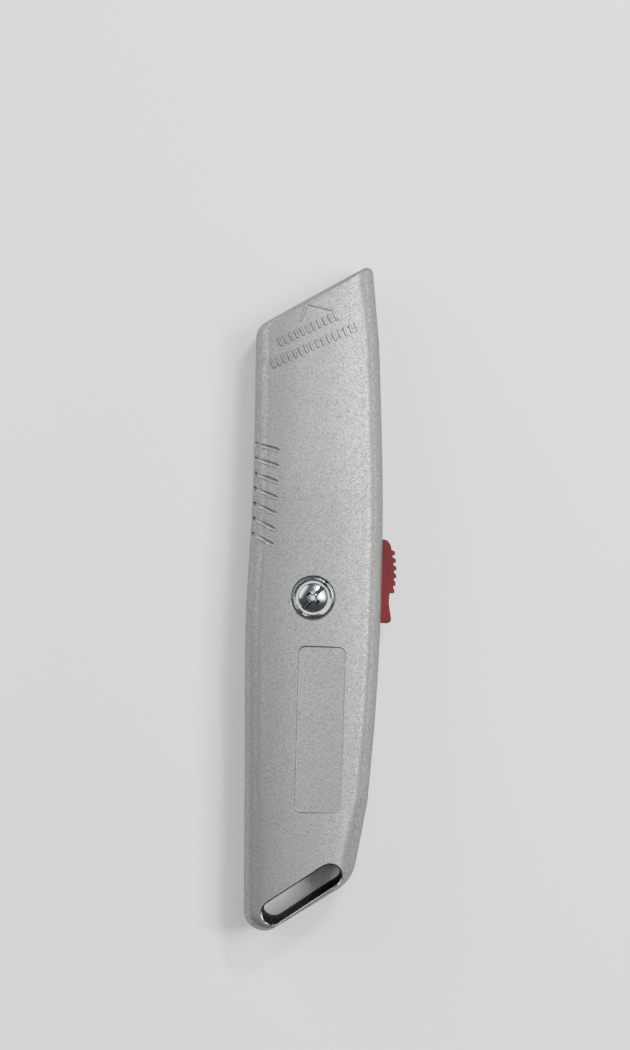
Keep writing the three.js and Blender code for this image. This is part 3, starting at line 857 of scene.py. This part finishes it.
def cut_recesses(screw, top):
    """Cuts a straight slot over a cross, each from rings of (half size, depth)."""
    corner_radius, corner_steps = 0.12, 3
    slot = [((4.4, 0.3), 1.2), ((4.4, 0.4), 1.1), ((4.4, 0.5), 0.0), ((4.4, 0.5), -1.0)]
    cross = [((0.5, 0.24), 2.2), ((1.1, 0.38), 1.4), ((1.75, 0.58), 0.0), ((1.8, 0.6), -1.0)]
    for levels, turn in ((slot, 0), (cross, 0), (cross, 90)):
        rings = []
        for half, depth in levels:
            outline = rounded_rectangle((0, 0), half, corner_radius, corner_steps)
            rings.append([(x, y, top - depth) for x, y in outline])
        recess = stacked("recess", rings)
        recess.data.transform(Matrix.Rotation(math.radians(SCREW_ANGLE + turn), 4, "Z"))
        combine(screw, recess, "DIFFERENCE")


def slot_floor_faces(mesh, dome):
    """Each face's material: 1 in the straight slot, between the cross and the edge, where the metal is
    darkened as painted shade, else 0.
    """
    inner, lowest, below_dome, steepest = 1.25, 8.2, 0.03, 0.05
    marks = []
    for face in mesh.polygons:
        radius = face.center.xy.length
        sunk = lowest < face.center.z < dome_height(radius, *dome) - below_dome
        beside = inner < radius < SCREW_HEAD - 0.1
        marks.append(1 if sunk and beside and face.normal.z > steepest else 0)
    return marks


def add_screw(chrome, painted_slot_shade):
    """A pan-head screw with a straight slot over a cross recess, the slot's floor darkened as painted
    shade.
    """
    screw, dome = screw_blank()
    cut_recesses(screw, dome[2])
    # faces on the slot's floor get near-black metal, a painted shade of the recess
    dark = slot_floor_faces(screw.data, dome)
    placed(screw, 35.0)
    for made in (chrome, painted_slot_shade):
        screw.data.materials.append(made)
    screw.data.polygons.foreach_set("material_index", dark)
    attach(screw, "handle")
    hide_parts("body_screw")


def button_outline():
    """Side view of the thumb button: six blunt teeth, a thumb hollow and a low lip at the rear."""
    teeth, first, pitch, depth = 6, 1.4, 1.75, 0.5
    highest, middle_y, bend = 18.98, 5.5, 0.02

    def crest(y):
        return highest - bend * (y - middle_y) ** 2

    points = [(14.35, 13.8), (14.35, -5.5), (17.0, -5.5), (17.75, -5.25), (18.05, -4.7), (18.0, -3.9)]
    points += [(17.8, -2.9), (17.6, -1.8), (17.48, -0.7), (17.5, 0.3), (17.6, first)]
    for i in range(teeth):
        y = first + i * pitch
        points += [(crest(y) - 0.08, y + 0.02), (crest(y), y + 0.12), (crest(y) - 0.01, y + 0.75)]
        points += [(crest(y) - 0.1, y + 0.95), (crest(y + pitch) - depth, y + 1.35)]
        points += [(crest(y + pitch) - depth, y + pitch - 0.04)]
    points += [(17.5, 12.4), (17.15, 13.1), (16.6, 13.6), (15.9, 13.8)]
    return points


def add_button(plastic):
    """The thumb button: a cap with rounded edges, and the neck and foot that run inside."""
    outline = button_outline()
    half_width = 3.9
    cap = stacked("button", [[(x, y, z) for x, y in outline] for z in (-half_width, half_width)])
    weights = cap.data.attributes.new("bevel_weight_edge", "FLOAT", "EDGE")
    for edge in cap.data.edges:
        a, b = (cap.data.vertices[i].co for i in edge.vertices)
        weights.data[edge.index].value = 1.0 if abs(a.z - b.z) < 0.01 else 0.0
    bevel = cap.modifiers.new("edge", "BEVEL")
    bevel.limit_method = "WEIGHT"
    bevel.width = 0.32
    bevel.segments = 3
    applied(cap)
    inner_x, y0, y1 = 9.42, 0.02, 6.98
    combine(cap, block("neck", (inner_x, y0, -1.38), (15.5, y1, 1.38)), "UNION")
    combine(cap, block("foot", (inner_x, y0, -1.93), (10.28, y1, 1.93)), "UNION")
    placed(cap, 32.0)
    cap.data.materials.append(plastic)
    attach(cap, "button")
    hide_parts("thumb_button")


def add_spring(steel):
    """The leaf spring at rest, on the carriage, with a mesh of its own."""
    rest, crest, thickness = 7.25, 8.95, 0.4
    knots = [(rest, -9.6), (rest, -6.0), (rest, -2.8), (crest - 0.35, 0.6), (crest, 3.5)]
    knots += [(crest - 0.4, 6.4), (rest + 0.1, 9.6), (rest + 0.3, 11.0)]
    steps = 64
    points = [spline(knots, i / steps)[0] for i in range(steps + 1)]
    outline = [(p.x + thickness / 2, p.y) for p in points]
    outline += [(p.x - thickness / 2, p.y) for p in reversed(points)]
    strip = stacked("spring", [[(x, y, z) for x, y in outline] for z in (-1.6, 1.8)])
    combine(strip, block("bar", (crest - 0.25, 2.4, 1.3), (crest + 0.15, 4.6, 3.45)), "UNION")
    combine(strip, block("ear", (crest - 0.25, 2.4, 2.35), (11.5, 4.6, 3.44)), "UNION")
    placed(strip, 30.0)
    strip.data.materials.append(steel)
    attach(strip, "carriage")
    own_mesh(strip)
    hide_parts("leaf_spring")


def finish_node(node, made):
    """Gives a CAD node that isn't replaced its material."""
    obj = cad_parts[node]
    obj.data.materials.clear()
    obj.data.materials.append(made)


# ---- floor and light --------------------------------------------------------------------------
def add_floor():
    """A level floor wide enough to fill the view from any side."""
    size, steps = 8.0, 4
    verts, faces = [], []
    for j in range(steps + 1):
        for i in range(steps + 1):
            verts.append((size * (i / steps - 0.5), size * (j / steps - 0.5), 0.0))
    for j in range(steps):
        for i in range(steps):
            a = j * (steps + 1) + i
            faces.append((a, a + 1, a + steps + 2, a + steps + 1))
    mesh = bpy.data.meshes.new("floor")
    mesh.from_pydata(verts, [], faces)
    floor = bpy.data.objects.new("floor", mesh)
    bpy.context.scene.collection.objects.link(floor)
    mesh.materials.append(floor_paint())


LIGHT_AIM = Vector((0.0, 0.01, 0.01))
LIGHTS = (  # name, place, size and power of each soft box, in metres and watts
    ("key", (0.42, 0.16, 0.85), (0.25, 0.3), 6.0),
    ("glint", (0.37, 0.02, 0.62), (0.1, 0.15), 2.0),
    ("nose", (0.2, 0.38, 0.65), (0.12, 0.12), 4.0),
    ("top", (0.0, 0.13, 1.3), (0.6, 0.6), 3.7),
    ("left", (-0.85, 0.5, 0.55), (1.0, 1.0), 14.0),
    ("low_right", (0.95, 0.2, 0.28), (0.9, 0.25), 5.0),
)


def add_light(name, place, size, power):
    """A rectangular soft box that faces the knife."""
    data = bpy.data.lights.new(name, "AREA")
    data.shape = "RECTANGLE"
    data.size, data.size_y = size
    data.energy = power
    light = bpy.data.objects.new(name, data)
    light.location = place
    light.rotation_euler = (LIGHT_AIM - Vector(place)).to_track_quat("-Z", "Y").to_euler()
    bpy.context.scene.collection.objects.link(light)


def add_lights():
    """A dim even surround and the soft boxes."""
    world = bpy.data.worlds.new("studio")
    world.use_nodes = True
    world.node_tree.nodes["Background"].inputs["Color"].default_value = (0.9, 0.92, 0.95, 1)
    world.node_tree.nodes["Background"].inputs["Strength"].default_value = 0.12
    bpy.context.scene.world = world
    for light in LIGHTS:
        add_light(*light)


# ---- the scene --------------------------------------------------------------------------------
add_camera()
paint = textured_paint()
bowl_metal = bright_metal("turned_bowl", (0.4, 0.42, 0.425), 0.14)
# the hang slot's walls: glossy metal whose near-black colour and dark tint are painted shade of the
# deep slot
slot_shade_tint = (0.2, 0.22, 0.23, 1)
slot_shade_metal = bright_metal("slot_wall_painted_shade", (0.062, 0.072, 0.076), 0.3, Specular_Tint=slot_shade_tint)
chrome = bright_metal("chrome", (0.45, 0.475, 0.48), 0.15)
# the screw slot's floor: near-black metal, painted shade of the recess
painted_slot_shade = bright_metal("screw_slot_painted_shade", (0.028, 0.032, 0.034), 0.3)
plated = brushed_steel("zinc_plate", (0.6, 0.6, 0.57), 0.34, False)
blade_steel = brushed_steel("blade_steel", (0.4, 0.41, 0.43), 0.3, True)
spring_steel = brushed_steel("spring_steel", (0.25, 0.26, 0.29), 0.28, False)
add_handle(paint, bowl_metal, slot_shade_metal)
add_screw(chrome, painted_slot_shade)
add_button(moulded_red())
add_spring(spring_steel)
for node in ("blade_carrier", "blade_stud", "spring_rivet_1", "spring_rivet_2"):
    finish_node(node, plated)
for node in ("cutting_blade", *(f"spare_blade_{i}" for i in range(1, 6))):
    finish_node(node, blade_steel)
finish_node("spare_blade_clip", spring_steel)
add_floor()
add_lights()
